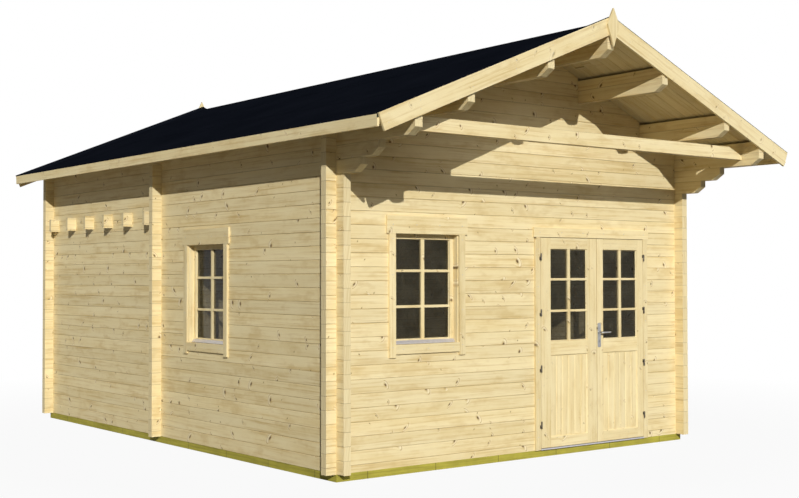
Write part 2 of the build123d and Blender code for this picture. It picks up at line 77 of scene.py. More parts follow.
class Socket:
    """An output of a shader node, so that sums on surfaces read as plain sums."""

    def __init__(self, finish, link):
        self.finish = finish
        self.link = link

    def sum(self, operation, other, swapped=False):
        first, second = (other, self) if swapped else (self, other)
        return self.finish.node("ShaderNodeMath", {"operation": operation}, {0: first, 1: second})

    def __add__(self, other):
        return self.sum("ADD", other)

    def __radd__(self, other):
        return self.sum("ADD", other, True)

    def __sub__(self, other):
        return self.sum("SUBTRACT", other)

    def __rsub__(self, other):
        return self.sum("SUBTRACT", other, True)

    def __mul__(self, other):
        return self.sum("MULTIPLY", other)

    def __rmul__(self, other):
        return self.sum("MULTIPLY", other, True)

    def __truediv__(self, other):
        return self.sum("DIVIDE", other)

    def __gt__(self, other):
        return self.sum("GREATER_THAN", other)

    def power(self, other):
        return self.sum("POWER", other)

    def one(self, operation):
        return self.finish.node("ShaderNodeMath", {"operation": operation}, {0: self})


class Finish:
    """A material or the world, made of its own shader and the nodes that feed it."""

    def __init__(self, name, kept=bpy.data.materials, kind="BSDF_PRINCIPLED"):
        self.made = kept.new(name)
        self.made.use_nodes = True
        self.tree = self.made.node_tree
        self.shader = next(n for n in self.tree.nodes if n.type == kind)

    def node(self, kind, settings=None, inputs=None, out=0):
        made = self.tree.nodes.new(kind)
        for key, value in (settings or {}).items():
            setattr(made, key, value)
        for key, value in (inputs or {}).items():
            self.feed(made.inputs[key], value)
        return Socket(self, made.outputs[out])

    def feed(self, socket, value):
        if isinstance(value, Socket):
            self.tree.links.new(value.link, socket)
        else:
            socket.default_value = value

    def set(self, **values):
        for key, value in values.items():
            self.feed(self.shader.inputs[key.replace("_", " ")], value)

    def vector(self, x, y, z=0.0):
        return self.node("ShaderNodeCombineXYZ", None, {0: x, 1: y, 2: z})

    def parts(self, vector):
        made = self.node("ShaderNodeSeparateXYZ", None, {0: vector})
        return [Socket(self, s) for s in made.link.node.outputs]

    def length(self, vector):
        return self.node("ShaderNodeVectorMath", {"operation": "LENGTH"}, {0: vector}, 1)

    def spot(self):
        """Where a point of the surface lies on the object, as one vector."""
        return self.node("ShaderNodeTexCoord", None, None, "Object")

    def noise(self, vector, scale=1.0, detail=2.0, rough=0.5):
        inputs = {"Vector": vector, "Scale": scale, "Detail": detail, "Roughness": rough}
        return self.node("ShaderNodeTexNoise", None, inputs)

    def chance(self, value):
        return self.node("ShaderNodeTexWhiteNoise", {"noise_dimensions": "1D"}, {"W": value})

    def between(self, value, low, high, to_low=0.0, to_high=1.0):
        inputs = {"Value": value, 1: low, 2: high, 3: to_low, 4: to_high}
        return self.node("ShaderNodeMapRange", {"clamp": True}, inputs)

    def mix(self, mask, first, second):
        return self.node("ShaderNodeMix", {"data_type": "RGBA"}, {0: mask, 6: first, 7: second}, 2)

    def shade(self, tint, factor):
        """The colour made lighter or darker by a number that varies."""
        inputs = {0: tint, "Scale": factor}
        return self.node("ShaderNodeVectorMath", {"operation": "SCALE"}, inputs)

    def bump(self, height, strength, distance=0.001):
        inputs = {"Height": height, "Strength": strength, "Distance": distance}
        return self.node("ShaderNodeBump", None, inputs)

    def background_rays(self):
        """One for rays that are to show a white background, straight, mirrored or through glass."""
        rays = self.node("ShaderNodeLightPath").link.node.outputs
        seen = Socket(self, rays["Is Camera Ray"]) + Socket(self, rays["Is Glossy Ray"])
        return (seen + Socket(self, rays["Is Transmission Ray"])).sum("MINIMUM", 1.0)


def colour(red, green, blue):
    return (red, green, blue, 1.0)


WHITE = colour(1, 1, 1)
SPRUCE = colour(0.80, 0.645, 0.332)
SPRUCE_DARK = colour(0.60, 0.420, 0.160)
SPRUCE_PALE = colour(0.88, 0.748, 0.440)
SPRUCE_FLAME = colour(0.93, 0.82, 0.56)
# Dark joint colour, also painted shade in the grooves between logs
DARK_JOINT_AND_SHADE = colour(0.22, 0.135, 0.045)
KNOT = colour(0.115, 0.066, 0.018)
KNOT_RIM = colour(0.50, 0.31, 0.09)

# Knots lie in cells, so many to a metre of timber, and most cells stay bare
CELLS_ALONG = 5.2
CELLS_ACROSS = 7.6
BARE_CELLS = 0.64
KNOT_LEAST = 0.034
KNOT_MORE = 0.090
KNOT_LEAN = 1.3
KNOT_NARROW = 1.9
FLAME_FROM = 0.22
FLAME_REACH = 3.6
OUTLINE_REACH = 3.4


def spruce(finish, along, across, through, timber, knots=1.0, tone_and_painted_light=1.0):
    """Planed spruce, from places along and across the grain and a number for each timber."""
    luck = finish.chance(timber)
    other_luck = finish.chance(timber + 31.7)
    run = along + luck * 23.0
    side = across + other_luck * 9.0

    # Knots lean a little, most of them small and a few wide, with a pale flame on one side
    cell_x, cell_y = run * CELLS_ALONG, side * CELLS_ACROSS
    inputs = {"Vector": finish.vector(cell_x, cell_y), "Scale": 1.0}
    cells = finish.node("ShaderNodeTexVoronoi", {"voronoi_dimensions": "2D"}, inputs)
    outputs = cells.link.node.outputs
    lot = finish.parts(Socket(finish, outputs["Color"]))
    heart = finish.parts(Socket(finish, outputs["Position"]))
    rough = finish.noise(finish.vector(run * 45.0, side * 45.0, through * 45.0))
    down = cell_y - heart[1]
    aside = (cell_x - heart[0]) + down * (lot[2] - 0.5) * KNOT_LEAN
    reach = finish.length(finish.vector(aside * KNOT_NARROW, down)) + (rough - 0.5) * 0.05
    picked = lot[0] > BARE_CELLS
    flamed = lot[1] > FLAME_FROM
    radius = lot[1].power(2.0) * KNOT_MORE + KNOT_LEAST
    knot = finish.between(reach - radius, 0.016, -0.016) * picked * knots
    rim = finish.between(reach - radius * 1.9, 0.05, -0.05) * picked * knots
    near = finish.between(reach - radius * FLAME_REACH, 0.14, -0.12) * picked
    flame = near * finish.between(aside, 0.0, 0.05) * flamed
    edge = (reach - radius * OUTLINE_REACH).one("ABSOLUTE")
    outline = finish.between(edge, 0.050, 0.010) * picked * (aside > 0.0) * flamed

    # Rings of growth run along the timber and part round each knot
    parted = side - down * near * 0.05
    lines = finish.noise(finish.vector(run * 1.3, parted * 46.0, through * 46.0), 1.0, 3.0, 0.6)
    streak = finish.noise(finish.vector(run * 0.9, side * 11.0, through * 11.0), 1.0, 2.0, 0.55)
    blotch = finish.noise(finish.vector(run * 3.4, side * 7.0, through * 7.0), 1.0, 3.0, 0.6)
    fine = finish.noise(finish.vector(run * 9.0, side * 420.0, through * 420.0), 1.0, 2.0, 0.6)

    pale = finish.mix(finish.between(streak, 0.35, 0.72), SPRUCE_PALE, SPRUCE)
    wood = finish.mix(finish.between(lines, 0.50, 0.76) * 0.80, pale, SPRUCE_DARK)
    wood = finish.mix(finish.between(fine, 0.45, 0.85) * 0.25, wood, SPRUCE_DARK)
    wood = finish.mix(finish.between(blotch, 0.52, 0.68) * 0.55, wood, SPRUCE_PALE)
    wood = finish.mix(finish.between(blotch, 0.46, 0.32) * 0.40, wood, SPRUCE_DARK)
    wood = finish.mix(flame * knots * 0.75, wood, SPRUCE_FLAME)
    wood = finish.mix(outline * knots * 0.70, wood, KNOT_RIM)
    wood = finish.mix(rim * 0.45, wood, KNOT_RIM)
    wood = finish.mix(knot * 0.92, wood, KNOT)
    # A random tone for each timber, times a factor that is painted light on the side logs and painted
    # shade on the roof boards
    wood = finish.shade(wood, (luck * 0.12 + 0.93) * tone_and_painted_light)
    height = lines * 0.5 + fine * 0.4 - knot * 0.6
    return wood, height


def finish_spruce(finish, wood, height, strength=0.25):
    finish.set(Base_Color=wood, Roughness=finish.between(height, 0.2, 0.9, 0.62, 0.78))
    finish.set(Normal=finish.bump(height, strength), Specular_IOR_Level=0.35)
    return finish.made


def log_finish(name, along, shift, knots=1.0, tone_and_painted_light=1.0):
    """Stacked logs, where along is 0 for X or 1 for Y and shift is the height of the first joint."""
    finish = Finish(name)
    place = finish.parts(finish.spot())
    through = place[1 - along]
    courses = (place[2] - GROUND) / COURSE + shift
    row = courses.one("FLOOR")
    wall = (through * 1.3).one("ROUND")
    timber = row * 7.31 + wall * 57.0
    wood, height = spruce(finish, place[along], place[2], through, timber, knots, tone_and_painted_light)

    # Rings on the sawn ends, round a heart that lies below the log
    normal = finish.parts(finish.node("ShaderNodeNewGeometry", None, None, "Normal"))
    end = finish.between(normal[along].one("ABSOLUTE"), 0.80, 0.9)
    luck = finish.chance(timber + 5.0)
    down = courses - row + luck * 1.6 + 1.1
    ring = finish.length(finish.vector(through * (1.0 / COURSE), down))
    rings = finish.noise(finish.vector(ring * 16.0, 0.0, timber), 1.0, 1.0)
    sawn = finish.mix(finish.between(rings, 0.35, 0.65) * 0.45, SPRUCE_PALE, SPRUCE_DARK)
    sawn = finish.shade(sawn, luck * 0.10 + 0.91)
    wood = finish.mix(end, wood, sawn)

    # A dark line at each joint between two logs, partly the joint's own dark and partly painted shade in
    # its groove, stronger in some places
    off = ((courses - row) - 0.5).one("ABSOLUTE")
    joint_shade_strength = finish.noise(finish.vector(place[along] * 2.2, row * 3.1), 1.0, 2.0)
    dark_joint_and_shade = finish.between(off, 0.474, 0.494) * finish.between(joint_shade_strength, 0.3, 0.7, 0.25, 0.95)
    wood = finish.mix(dark_joint_and_shade * 0.85, wood, DARK_JOINT_AND_SHADE)
    return finish_spruce(finish, wood, height)


def board_finish(name, tone_and_painted_light=1.0, knots=1.0):
    """Boards that carry their own grain places in an attribute."""
    finish = Finish(name)
    grain = finish.node("ShaderNodeAttribute", {"attribute_name": "grain"}, None, "Vector")
    place = finish.parts(grain)
    timber = finish.node("ShaderNodeAttribute", {"attribute_name": "timber"}, None, "Fac")
    wood, height = spruce(finish, place[0], place[1], place[2], timber, knots, tone_and_painted_light)
    return finish_spruce(finish, wood, height, 0.18)


def felt_finish():
    """Bitumen felt with a fine grit, nearly black with a touch of blue."""
    finish = Finish("roofing felt")
    place = finish.spot()
    grit = finish.noise(place, 900.0, 2.0, 0.7)
    cloud = finish.noise(place, 1.6, 4.0, 0.6)
    dark, light = colour(0.0045, 0.0058, 0.0095), colour(0.0070, 0.0086, 0.0135)
    base = finish.mix(finish.between(cloud, 0.3, 0.7), dark, light)
    sparkle = finish.mix(finish.between(grit, 0.55, 0.75) * 0.4, base, colour(0.020, 0.023, 0.030))
    finish.set(Base_Color=sparkle, Roughness=finish.between(grit, 0.3, 0.7, 0.85, 0.97))
    finish.set(Normal=finish.bump(grit, 0.4), Specular_IOR_Level=0.0)
    return finish.made


def treated_finish():
    """Green pressure treated timber, in lengths that butt at dark joints."""
    finish = Finish("treated timber")
    place = finish.parts(finish.spot())
    stretched = finish.vector(place[0] * 2.0, place[1] * 2.0, place[2] * 60.0)
    streaks = finish.noise(stretched, 1.0, 3.0, 0.6)
    cloud = finish.noise(finish.vector(place[0], place[1], place[2]), 7.0, 3.0, 0.6)
    light, dark = colour(0.50, 0.44, 0.055), colour(0.30, 0.26, 0.030)
    green = finish.mix(finish.between(streaks, 0.3, 0.75), light, dark)
    joint = finish.between(((place[0] + place[1]) * 1.4).one("FRACT"), 0.012, 0.004)
    green = finish.shade(green, (cloud * 0.5 + 0.70) * (1 - joint * 0.7))
    finish.set(Base_Color=green, Roughness=finish.between(streaks, 0.3, 0.7, 0.7, 0.85))
    finish.set(Normal=finish.bump(streaks, 0.3))
    return finish.made


def glass_finish():
    """Panes with a slight haze, tinted dark brown and partly opaque: painted reflection and painted
    shade of the room behind.
    """
    finish = Finish("window glass")
    haze = finish.noise(finish.spot(), 7.0, 4.0, 0.65)
    # The dark brown tint is painted reflection and painted shade, varied in smudges of haze
    dark, light = colour(0.030, 0.026, 0.012), colour(0.058, 0.050, 0.026)
    tint = finish.mix(finish.between(haze, 0.35, 0.65), dark, light)
    finish.set(Base_Color=tint, Roughness=finish.between(haze, 0.3, 0.7, 0.01, 0.05))
    finish.set(Alpha=finish.between(haze, 0.35, 0.65, 0.34, 0.46), Specular_IOR_Level=0.28)
    return finish.made


def steel_finish(name, dark, light, metal=1.0):
    finish = Finish(name)
    smudge = finish.noise(finish.spot(), 40.0, 3.0, 0.6)
    brushed = finish.mix(finish.between(smudge, 0.3, 0.7), dark, light)
    roughness = finish.between(smudge, 0.3, 0.7, 0.28, 0.4)
    finish.set(Base_Color=brushed, Metallic=metal, Roughness=roughness)
    return finish.made


# The side logs are painted 3% lighter: painted light that makes up for the weaker light on the side
# walls
SIDE_LOGS = log_finish("side logs", 1, 0.0, 1.0, 1.03)
CROSS_LOGS = log_finish("cross logs", 0, 0.5)
BOARDS = board_finish("planed boards")
PALE_BOARDS = board_finish("barge boards", 1.03, 0.55)
# The roof boards, seen from below, are painted 20% darker as painted shade under the roof
SHADED_ROOF_BOARDS = board_finish("roof boards in painted shade", 0.80, 0.6)
FELT = felt_finish()
TREATED = treated_finish()
PANE = glass_finish()
STEEL = steel_finish("satin steel", colour(0.33, 0.33, 0.33), colour(0.44, 0.44, 0.43))
DRIP = steel_finish("milled metal", colour(0.52, 0.50, 0.51), colour(0.60, 0.58, 0.59), 0.35)
DARK_STEEL = steel_finish("dark steel", colour(0.10, 0.085, 0.065), colour(0.17, 0.15, 0.12))

random.seed(7)
SHARP = math.radians(38)


def put(name, data):
    """A new object in the scene."""
    made = bpy.data.objects.new(name, data)
    bpy.context.scene.collection.objects.link(made)
    return made


def once(things):
    """Each thing once, in the order in which they come."""
    return list(dict.fromkeys(things))


def make_piece(name, shape, material, slot, body="cabin", replaces=(), smooth=False):
    """Makes a piece, sets what it rides on and which frame nodes it stands for."""
    mesh = bpy.data.meshes.new(name)
    bmesh.ops.recalc_face_normals(shape, faces=shape.faces)
    shape.to_mesh(mesh)
    shape.free()
    piece = put(name, mesh)
    mesh.materials.append(material)
    if smooth:
        mesh.shade_smooth()
        mesh.set_sharp_from_angle(angle=SHARP)
    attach(piece, body)
    if replaces:
        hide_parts(*replaces)


class Joinery:
    """Boards gathered into one mesh, each with the run of its own grain."""

    def __init__(self):
        self.mesh = bmesh.new()
        self.grain = self.mesh.verts.layers.float_vector.new("grain")
        self.timber = self.mesh.verts.layers.float.new("timber")

    def settle(self, verts, along, place):
        """Writes the grain places of one board, along its fibres, then moves it by a matrix."""
        along = Vector(along).normalized()
        upright = Vector(UP) if abs(along.z) < 0.9 else Vector(ACROSS)
        across = (upright - along * upright.dot(along)).normalized()
        through = along.cross(across)
        number = random.uniform(0, 99)
        for vert in verts:
            vert[self.grain] = (vert.co.dot(along), vert.co.dot(across), vert.co.dot(through))
            vert[self.timber] = number
        if place:
            bmesh.ops.transform(self.mesh, matrix=place, verts=verts)

    def soften(self, made, edges, size, segments=2, profile=0.6):
        """Rounds edges and gives all verts that the board then has."""
        eased = bmesh.ops.bevel(
            self.mesh, geom=once(edges), offset=size, segments=segments, profile=profile, affect="EDGES"
        )
        return once([*eased["verts"], *(v for v in made if v.is_valid)])

    def block(self, low, high, along=UP, ease=EASE, place=None):
        """A board between two corners, its edges eased."""
        low, high = Vector(low), Vector(high)
        middle = Matrix.Translation((low + high) / 2)
        size = Matrix.Diagonal((*(high - low), 1))
        made = bmesh.ops.create_cube(self.mesh, size=1.0, matrix=middle @ size)["verts"]
        if ease:
            made = self.soften(made, [edge for vert in made for edge in vert.link_edges], ease)
        self.settle(made, along, place)

    def prism(self, ends, along=UP, ease=0.0, place=None):
        """A solid between two loops of the same number of points."""
        first = [self.mesh.verts.new(p) for p in ends[0]]
        second = [self.mesh.verts.new(p) for p in ends[1]]
        faces = [self.mesh.faces.new(first), self.mesh.faces.new(list(reversed(second)))]
        for i in range(len(first)):
            j = (i + 1) % len(first)
            faces.append(self.mesh.faces.new((first[j], first[i], second[i], second[j])))
        bmesh.ops.recalc_face_normals(self.mesh, faces=faces)
        made = first + second
        if ease:
            made = self.soften(made, [edge for face in faces for edge in face.edges], ease)
        self.settle(made, along, place)

    def round(self, foot, head, radius, sides=20, ease=0.0, place=None):
        """A round bar from foot to head, its ends eased."""
        foot, head = Vector(foot), Vector(head)
        line = head - foot
        turn = Vector(UP).rotation_difference(line.normalized()).to_matrix().to_4x4()
        middle = Matrix.Translation((foot + head) / 2) @ turn
        made = bmesh.ops.create_cone(
            self.mesh, cap_ends=True, segments=sides, radius1=radius, radius2=radius,
            depth=line.length, matrix=middle,
        )["verts"]
        if ease:
            rims = [e for v in made for e in v.link_edges if max(len(f.verts) for f in e.link_faces) > 4]
            made = self.soften(made, rims, ease, 3, 0.5)
        self.settle(made, UP, place)

    def finish(self, name, material, slot, body="cabin", replaces=(), smooth=False):
        make_piece(name, self.mesh, material, slot, body, replaces, smooth)


def roof_under(x):
    """Height of the underside of the roof boards."""
    return RIDGE - SLOPE * abs(x)


def down_slope(side):
    """Direction from the ridge down one slope."""
    return (side * math.cos(PITCH), 0, -math.sin(PITCH))


def dress(names, material):
    """Gives frame nodes their finish."""
    for name in names.split():
        nodes[name].material_slots[0].material = material


dress(
    "left_wall right_wall left_corbels right_corbels left_eave_purlin right_eave_purlin"
    " low_purlins high_purlins ridge_purlin",
    SIDE_LOGS,
)
dress(
    "front_wall_left front_wall_right front_wall_upper front_gable rear_wall rear_gable"
    " cross_wall_left cross_wall_right cross_wall_upper canopy_beam deck_joists",
    CROSS_LOGS,
)
dress("foundation_frame", TREATED)
dress("window_glass left_door_glass right_door_glass", PANE)
dress("door_threshold", DRIP)

# Purlins with level tops, which leave a dark wedge under the slope of the roof
LEVEL_PLAY = 0.0005
for name in ("left_eave_purlin", "right_eave_purlin", "low_purlins", "high_purlins"):
    timber = bmesh.new()
    timber.from_mesh(nodes[name].data)
    for side in (-1, 1):
        part = [v for v in timber.verts if v.co.x * side > 0]
        if not part:
            continue
        outer = max(abs(v.co.x) for v in part)
        faces = once(f for v in part for f in v.link_faces)
        edges = once(e for v in part for e in v.link_edges)
        cut = bmesh.ops.bisect_plane(
            timber, geom=[*part, *edges, *faces], plane_co=(0, 0, roof_under(outer) + LEVEL_PLAY),
            plane_no=UP, clear_outer=True,
        )["geom_cut"]
        bmesh.ops.holes_fill(timber, edges=[e for e in cut if isinstance(e, bmesh.types.BMEdge)])
    make_piece(f"{name}_levelled", timber, SIDE_LOGS, "logs", replaces=(name,))

# Roof boards, tongued, with a V at each joint underneath
BOARD_PITCH = 0.1135
V_DEPTH = 0.004
roof_rows = round((REAR_EDGE - CANOPY_EDGE) / BOARD_PITCH)
roof_step = (REAR_EDGE - CANOPY_EDGE) / roof_rows
for side, name in SIDES:
    boards = Joinery()
    for n in range(roof_rows):
        low = CANOPY_EDGE + n * roof_step
        high = low + roof_step
        profile = (
            (low, V_DEPTH), (low + V_DEPTH, 0), (high - V_DEPTH, 0),
            (high, V_DEPTH), (high, BOARD * LIFT), (low, BOARD * LIFT),
        )
        ends = [
            [(x, y, roof_under(x) + t) for y, t in profile]
            for x in (0.0, side * (EAVE - FASCIA))
        ]
        boards.prism(ends, down_slope(side))
    # The sarking takes the finish painted darker as shade under the roof
    boards.finish(f"{name}_sarking", SHADED_ROOF_BOARDS, "trim", replaces=(f"{name}_roof_boards",))

# Floor boards in both rooms, with a small groove at each joint
FLOOR_TOP = GROUND + BOARD
FLOOR_HALF = 2.025
FLOOR_ROWS = 36
GROOVE = 0.002
WALL_CLEAR = 0.075
floor_step = 2 * FLOOR_HALF / FLOOR_ROWS
floor = Joinery()
for low_y, high_y in ((FRONT + WALL_CLEAR, CROSS_WALL[0]), (CROSS_WALL[1], REAR - WALL_CLEAR)):
    for n in range(FLOOR_ROWS):
        low = -FLOOR_HALF + n * floor_step
        high = low + floor_step
        profile = (
            (low, GROUND), (high, GROUND), (high, FLOOR_TOP - GROOVE),
            (high - GROOVE, FLOOR_TOP), (low + GROOVE, FLOOR_TOP), (low, FLOOR_TOP - GROOVE),
        )
        floor.prism([[(x, y, z) for x, z in profile] for y in (low_y, high_y)], DEEP)
floor.finish("laid_floor", BOARDS, "trim", replaces=("floor_boards",))

# Barge boards
for y, name in ((CANOPY_EDGE, "front"), (REAR_EDGE + TRIM, "rear")):
    barge = Joinery()
    ridge_top = RIDGE + BARGE_TOP * LIFT
    eave_top = roof_under(EAVE) + BARGE_TOP * LIFT
    for side in (-1, 1):
        outline = (
            (0, ridge_top),
            (side * EAVE, eave_top),
            (side * (EAVE - BARGE * math.sin(PITCH)), eave_top - BARGE * math.cos(PITCH)),
            (0, ridge_top - BARGE * LIFT),
        )
        ends = [[(x, place, z) for x, z in outline] for place in (y - TRIM, y)]
        barge.prism(ends, down_slope(side), WIDE_EASE)
    barge.finish(f"{name}_barges", PALE_BOARDS, "trim", replaces=(f"{name}_barge_boards",))


def posts(joinery, near, far, front, back, low, high, place, ease=EASE):
    """Two uprights, one on each side of the middle."""
    for side in (-1, 1):
        inner, outer = sorted((side * near, side * far))
        joinery.block((inner, front, low), (outer, back, high), UP, ease, place)


def ring(joinery, half, low, high, face, front, back, place, ease=EASE):
    """Two uprights with two rails between them, face is how wide each one shows."""
    posts(joinery, half, half - face, front, back, low, high, place, ease)
    for rail in (low, high - face):
        joinery.block(
            (face - half, front, rail), (half - face, back, rail + face), ACROSS, ease, place
        )


def bead(joinery, half, low, high, size, front, back, place):
    """A small chamfered strip round an opening, its thin edge towards the front."""
    runs = [((side * half, low), (side * half, high), -side, 0) for side in (-1, 1)]
    runs.append(((-half, low), (half, low), 0, 1))
    runs.append(((-half, high), (half, high), 0, -1))
    for start, stop, turn_x, turn_z in runs:
        ends = []
        for x, z in (start, stop):
            pull_x = math.copysign(size, -x) if turn_z else 0
            pull_z = (size if z == low else -size) if turn_x else 0
            ends.append((
                (x, front, z), (x, back, z),
                (x + turn_x * size + pull_x, back, z + turn_z * size + pull_z),
            ))
        joinery.prism(ends, UP if turn_x else ACROSS, 0.0, place)


PANE_PLAY = 0.002
POST_PROUD = 0.001


def bars(joinery, low, width, height, rows, bar, post, out, place):
    """Glazing bars on both faces of the glass: rows across and one post up the middle."""
    for near, far in ((out, PANE_PLAY), (-PANE_PLAY, -out)):
        for row in rows:
            joinery.block(
                (-width / 2, far, low + row - bar / 2), (width / 2, near, low + row + bar / 2),
                ACROSS, BAR_EASE, place,
            )
        joinery.block(
            (-post / 2, far - POST_PROUD, low), (post / 2, near + POST_PROUD, low + height),
            UP, BAR_EASE, place,
        )


# Windows, drawn looking at the wall with X to the right, Y into the wall and Z up
FRONT_WINDOW = Matrix.Translation((-1.167, FRONT, GROUND + 8.5 * COURSE))
LEFT_WINDOW = (
    Matrix.Translation((-HALF_WIDTH, FRONT + 2.112, GROUND + 8 * COURSE))
    @ Matrix.Rotation(-math.pi / 2, 4, "Z")
)
WINDOW_HALF = 0.375
WINDOW_HIGH = 1.000
LINING = 0.040
LINING_DEEP = 0.095
SASH_DEPTHS = (0.053, 0.093)
PANE_HALF = 0.295
PANE_LOW = 0.080
PANE_HIGH = 0.920
PANE_DEPTH = 0.073
WINDOW_BARS = (0.273, 0.573)
# How high a bar is, how wide the post is, and how far both stand out from the glass
WINDOW_BAR_SIZES = (0.023, 0.034, 0.016)
# How wide a bead is, and where its thin and its thick edge lie
OUTER_BEAD = (0.004, 0.064, 0.0705)
INNER_BEAD = (0.009, 0.086, 0.0755)
CASING_NEAR = 0.345
CASING_FAR = 0.411
CASING_FOOT = -0.067
CASING_HEAD = 0.962
HEAD_HALF = 0.437
HEAD_TOP = 1.112
SILL_LOW = -0.038
SILL_HIGH = 0.041
DRIP_HALF = 0.333
DRIP_PROFILE = ((0.0525, 0.042), (0.030, 0.042), (0.030, 0.047), (0.0525, 0.072))

window_joinery = Joinery()
sashes = Joinery()
casings = Joinery()
window_bars = Joinery()
drips = Joinery()
for place in (FRONT_WINDOW, LEFT_WINDOW):
    ring(window_joinery, WINDOW_HALF, 0.0, WINDOW_HIGH, LINING, 0.0, LINING_DEEP, place)
    ring(
        sashes, WINDOW_HALF - LINING, LINING, WINDOW_HIGH - LINING, LINING, *SASH_DEPTHS, place,
        TRIM_EASE,
    )
    bead(window_bars, PANE_HALF, PANE_LOW, PANE_HIGH, *OUTER_BEAD, place)
    bead(window_bars, PANE_HALF, PANE_LOW, PANE_HIGH, *INNER_BEAD, place)
    bars(
        window_bars, PANE_LOW, 2 * PANE_HALF, PANE_HIGH - PANE_LOW, WINDOW_BARS, *WINDOW_BAR_SIZES,
        place @ Matrix.Translation((0, PANE_DEPTH, 0)),
    )
    posts(casings, CASING_NEAR, CASING_FAR, -CASING, 0.0, CASING_FOOT, CASING_HEAD, place, TRIM_EASE)
    casings.block(
        (-HEAD_HALF, -CASING, CASING_HEAD), (HEAD_HALF, 0.0, HEAD_TOP), ACROSS, TRIM_EASE, place
    )
    casings.block(
        (-CASING_NEAR, -CASING, SILL_LOW), (CASING_NEAR, 0.0, SILL_HIGH), ACROSS, TRIM_EASE, place
    )
    ends = [[(x, y, z) for y, z in DRIP_PROFILE] for x in (-DRIP_HALF, DRIP_HALF)]
    drips.prism(ends, ACROSS, FINE_EASE, place)
window_joinery.finish("window_linings", BOARDS, "trim", replaces=("window_frames",))
sashes.finish("window_sash_joinery", BOARDS, "trim", replaces=("window_sashes",))
casings.finish("window_trims", BOARDS, "trim", replaces=("window_casings",))
window_bars.finish("window_bars", BOARDS, "trim")
drips.finish("window_drips", DRIP, "steel")

# Door frame, its stop and its casing, drawn in the same way
DOOR = Matrix.Translation((DOOR_X, FRONT, GROUND))
OPENING_HALF = 0.6945
OPENING_HIGH = 1.931
FRAME_HALF = 0.7245
FRAME_HIGH = 1.961
STOP_HALF = 0.6795
STOP_LOW = 0.012
STOP_HIGH = 1.916
STOP_DEPTHS = (0.027, 0.047)
DOOR_CASING_HALF = 0.7565
DOOR_HEAD_HALF = 0.7725
DOOR_HEAD_TOP = 2.019
lining = Joinery()
trims = Joinery()
for side in (-1, 1):
    for joinery, near, far, front, back, low in (
        (lining, OPENING_HALF, FRAME_HALF, 0.0, LOG, 0.0),
        (lining, STOP_HALF, OPENING_HALF, *STOP_DEPTHS, STOP_LOW),
        (trims, OPENING_HALF, DOOR_CASING_HALF, -CASING, 0.0, 0.0),
    ):
        inner, outer = sorted((side * near, side * far))
        joinery.block((inner, front, low), (outer, back, OPENING_HIGH), UP, EASE, DOOR)
lining.block((-FRAME_HALF, 0.0, OPENING_HIGH), (FRAME_HALF, LOG, FRAME_HIGH), ACROSS, EASE, DOOR)
lining.block(
    (-STOP_HALF, STOP_DEPTHS[0], STOP_HIGH), (STOP_HALF, STOP_DEPTHS[1], OPENING_HIGH),
    ACROSS, EASE, DOOR,
)
trims.block(
    (-DOOR_HEAD_HALF, -CASING, OPENING_HIGH), (DOOR_HEAD_HALF, 0.0, DOOR_HEAD_TOP),
    ACROSS, TRIM_EASE, DOOR,
)
lining.finish("door_lining", BOARDS, "trim", replaces=("door_frame",))
trims.finish("door_trims", BOARDS, "trim", replaces=("door_casing",))

# Door leaves, each with its name, middle, width, stile and the side where it meets the other
LEAVES = (("left", 0.512, 0.727, 0.123, 1), ("right", 1.2045, 0.646, 0.083, -1))
LEAF_H = 1.909
LEAF_T = 0.042
PANEL = (0.091, 0.838)
GLASS = (0.963, 1.809)
LEAF_BARS = (0.277, 0.566)
LEAF_BAR_SIZES = (0.022, 0.033, 0.017)
MEETING_BEVEL = 0.003
PANEL_BOARDS = 6
PANEL_DEPTHS = (0.011, 0.031)
GLASS_DEPTHS = (0.0185, 0.0235)
PANEL_V = 0.0042
BEAD = 0.009
BEAD_IN = 0.003
for name, centre, width, stile, meeting in LEAVES:
    place = Matrix.Translation((centre, FRONT - CASING, GROUND + LEAF_LIFT))
    half = width / 2
    inside = half - stile
    leaf = Joinery()
    outer = -meeting * half
    inner, edge = sorted((outer, outer + meeting * stile))
    leaf.block((inner, 0.0, 0.0), (edge, LEAF_T, LEAF_H), UP, EASE, place)
    plan = (
        (meeting * inside, 0.0), (meeting * half, 0.0),
        (meeting * (half - MEETING_BEVEL), LEAF_T), (meeting * inside, LEAF_T),
    )
    leaf.prism([[(x, y, z) for x, y in plan] for z in (0.0, LEAF_H)], UP, EASE, place)
    for low, high in ((0.0, PANEL[0]), (PANEL[1], GLASS[0]), (GLASS[1], LEAF_H)):
        leaf.block((-inside, 0.0, low), (inside, LEAF_T, high), ACROSS, EASE, place)
    board = 2 * inside / PANEL_BOARDS
    front, back = PANEL_DEPTHS
    for n in range(PANEL_BOARDS):
        low, high = n * board - inside, (n + 1) * board - inside
        plan = (
            (low, front + PANEL_V), (low + PANEL_V, front), (high - PANEL_V, front),
            (high, front + PANEL_V), (high, back - PANEL_V), (high - PANEL_V, back),
            (low + PANEL_V, back), (low, back - PANEL_V),
        )
        leaf.prism([[(x, y, z) for x, y in plan] for z in PANEL], UP, 0.0, place)
    for heights, depths in ((GLASS, GLASS_DEPTHS), (PANEL, PANEL_DEPTHS)):
        bead(leaf, inside, *heights, BEAD, BEAD_IN, depths[0], place)
        bead(leaf, inside, *heights, BEAD, LEAF_T - BEAD_IN, depths[1], place)
    bars(
        leaf, 0.0, 2 * inside, GLASS[1] - GLASS[0], LEAF_BARS, *LEAF_BAR_SIZES,
        place @ Matrix.Translation((0, LEAF_T / 2, GLASS[0])),
    )
    leaf.finish(
        f"{name}_leaf_joinery", BOARDS, "trim", body=f"{name}_door", replaces=(f"{name}_door_leaf",)
    )

